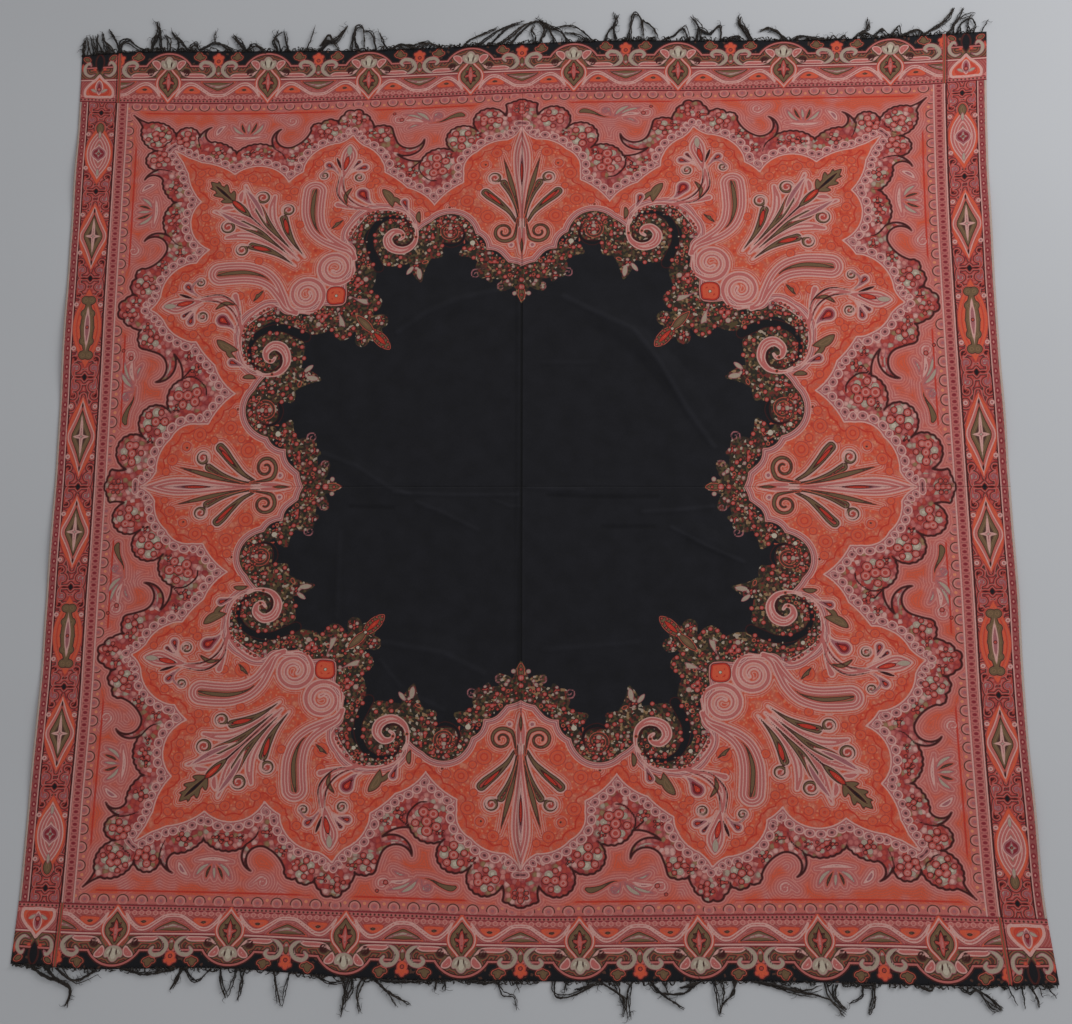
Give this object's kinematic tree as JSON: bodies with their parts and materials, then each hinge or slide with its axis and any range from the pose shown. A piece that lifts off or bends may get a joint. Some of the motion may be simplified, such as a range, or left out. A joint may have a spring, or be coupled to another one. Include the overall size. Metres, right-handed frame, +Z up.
{
  "type": "paisley shawl",
  "caption": "Large square woven paisley shawl laid flat, with a plain dark centre, woven side borders, sewn-on end borders and a loose yarn fringe along each end.",
  "frame": {"origin": "on the flat underside of the cloth, below the point where its lengthwise and crosswise pressed creases cross", "axes": "+X towards the right selvedge, +Y towards the far (top) end border, +Z up out of the patterned face"},
  "size_m": [1.6836, 1.7614, 0.007],
  "materials": {
    "field_cloth": "fine woven wool twill, patterned in orange-red, crimson, pink, olive and blue-black",
    "border_cloth": "woven wool twill, patterned in red, olive, ochre, grey-green and blue-black",
    "fringe_yarn": "loose blue-black wool yarn, matt and slightly fuzzy"
  },
  "bodies": {
    "root": {"field": "field_cloth", "end_border_top": "border_cloth", "end_border_bottom": "border_cloth", "fringe_top": "fringe_yarn", "fringe_bottom": "fringe_yarn"}
  },
  "joints": []
}
